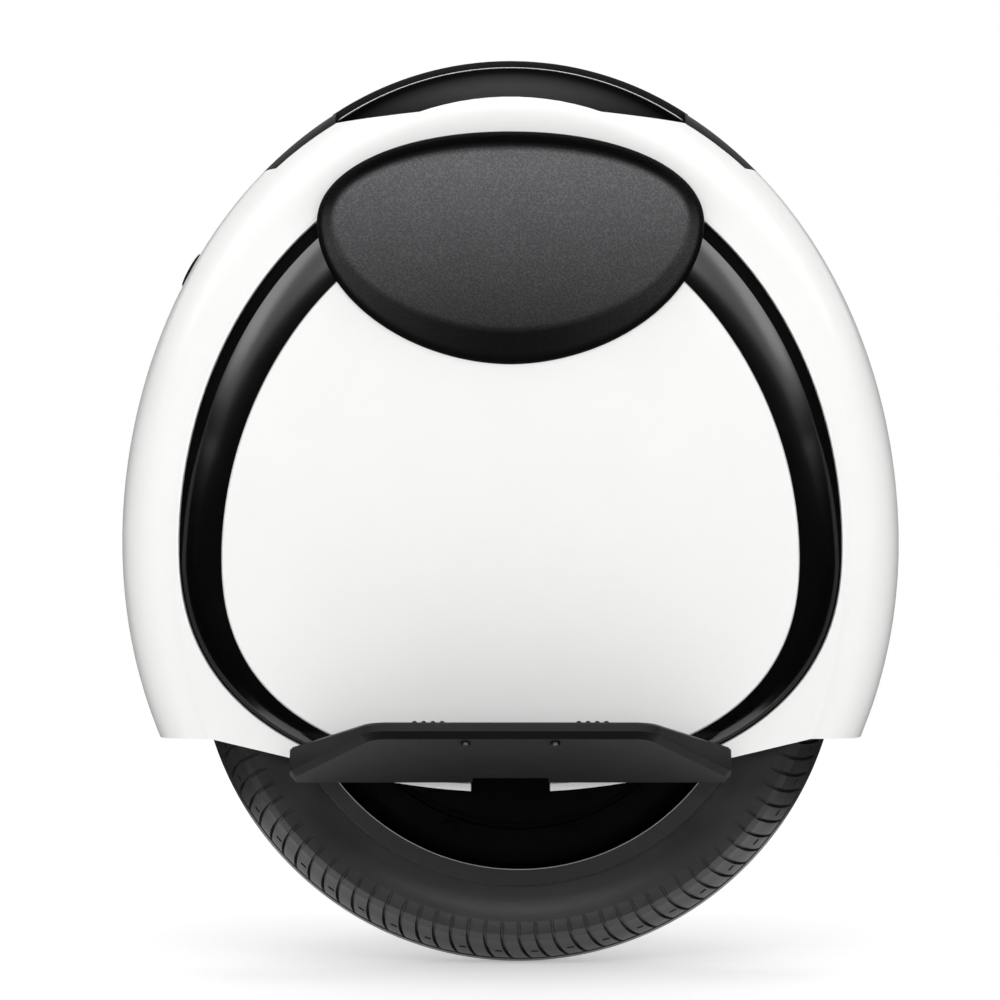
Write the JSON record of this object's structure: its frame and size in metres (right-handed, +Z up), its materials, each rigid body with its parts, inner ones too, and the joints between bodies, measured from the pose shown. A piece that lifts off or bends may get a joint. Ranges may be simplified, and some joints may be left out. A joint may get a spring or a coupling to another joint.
{
  "type": "electric unicycle",
  "caption": "Self-balancing single wheel with a hub motor inside an egg-shaped body, fold-up pedals, leg pads and a carry handle.",
  "frame": {"origin": "on the ground, under the middle of the body's length and width", "axes": "+X forward, +Y to the rider's left, +Z up"},
  "size_m": [0.4248, 0.3082, 0.4935],
  "materials": {
    "white_moulding": "gloss white moulded plastic",
    "black_moulding": "gloss black moulded plastic",
    "dark_moulding": "satin black moulded plastic",
    "button_moulding": "fine matt black",
    "pad_foam": "soft moulded foam with a leather grain skin",
    "tyre_rubber": "black tyre rubber",
    "tube_rubber": "thin butyl rubber",
    "grip_rubber": "ribbed black rubber",
    "cable_jacket": "black cable jacket",
    "rim_paint": "satin black powder coat on cast aluminium",
    "cover_paint": "satin black powder coat on aluminium",
    "pedal_paint": "satin black powder coat on cast aluminium",
    "steel": "turned steel",
    "screw_steel": "dark plated steel",
    "magnet_plate": "nickel plated magnet",
    "lamination": "stacked steel sheet",
    "winding": "enamelled copper wire",
    "bare_aluminium": "bare aluminium",
    "cell": "shrink wrapped metal can",
    "chip_case": "moulded black case",
    "circuit_board": "green solder mask",
    "clear_lens": "clear moulded lens",
    "red_lens": "red moulded lens",
    "socket_body": "black connector body",
    "valve_brass": "brass",
    "valve_cap_plastic": "black plastic"
  },
  "bodies": {
    "chassis": {"axle": "steel", "axle_nuts": "steel", "axle_washers": "steel", "capacitors": "chip_case", "carry_handle": "dark_moulding", "charge_socket": "socket_body", "control_board": "circuit_board", "handle_well": "dark_moulding", "head_lamp_board": "circuit_board", "head_lamp_lens": "clear_lens", "heat_sink": "bare_aluminium", "left_battery_cells": "cell", "left_battery_tray": "dark_moulding", "left_hinge_pin": "steel", "left_leg_pad": "pad_foam", "left_pedal_hanger": "pedal_paint", "left_shell": "white_moulding", "left_side_panel": "white_moulding", "left_trim_ring": "black_moulding", "left_wheel_arch": "dark_moulding", "motor_cable": "cable_jacket", "power_transistors": "chip_case", "right_battery_cells": "cell", "right_battery_tray": "dark_moulding", "right_hinge_pin": "steel", "right_leg_pad": "pad_foam", "right_pedal_hanger": "pedal_paint", "right_shell": "white_moulding", "right_side_panel": "white_moulding", "right_trim_ring": "black_moulding", "right_wheel_arch": "dark_moulding", "shell_screws": "screw_steel", "stator_carrier": "bare_aluminium", "stator_coils": "winding", "stator_core": "lamination", "tail_lamp_board": "circuit_board", "tail_lamp_lens": "red_lens"},
    "wheel": {"tyre": "tyre_rubber", "inner_tube": "tube_rubber", "valve_stem": "valve_brass", "valve_cap": "valve_cap_plastic", "rim": "rim_paint", "flux_ring": "steel", "magnets": "magnet_plate", "cover_screws": "screw_steel", "right_motor_cover": "cover_paint", "left_motor_cover": "cover_paint", "right_wheel_bearing": "steel", "left_wheel_bearing": "steel"},
    "right_foot_platform": {"right_pedal": "pedal_paint", "right_pedal_grips": "grip_rubber", "right_pedal_bumpers": "screw_steel"},
    "left_foot_platform": {"left_pedal": "pedal_paint", "left_pedal_grips": "grip_rubber", "left_pedal_bumpers": "screw_steel"},
    "power_key": {"power_button": "button_moulding"},
    "lift_key": {"lift_button": "button_moulding"},
    "charge_flap": {"charge_door": "dark_moulding"}
  },
  "joints": [
    {"name": "wheel_spin", "type": "hinge", "parent": "chassis", "child": "wheel", "pos_m": [0.0045, 0, 0.177], "axis": [0, 1, 0], "continuous": true},
    {"name": "right_pedal_fold", "type": "hinge", "parent": "chassis", "child": "right_foot_platform", "pos_m": [0, -0.07, 0.114], "axis": [-1, 0, 0], "range_deg": [0, 77]},
    {"name": "left_pedal_fold", "type": "hinge", "parent": "chassis", "child": "left_foot_platform", "pos_m": [0, 0.07, 0.114], "axis": [1, 0, 0], "range_deg": [0, 77]},
    {"name": "power_button_press", "type": "slide", "parent": "chassis", "child": "power_key", "axis": [0.5, 0, -0.866], "range_m": [0, 0.0012], "stiffness_N_per_m": 800, "springref_m": -0.0005},
    {"name": "lift_button_press", "type": "slide", "parent": "chassis", "child": "lift_key", "axis": [0, 0, 1], "range_m": [0, 0.0025], "stiffness_N_per_m": 400, "springref_m": -0.001},
    {"name": "charge_door_swing", "type": "hinge", "parent": "chassis", "child": "charge_flap", "pos_m": [-0.17066, 0, 0.38943], "axis": [0, 1, 0], "range_deg": [0, 100]}
  ]
}
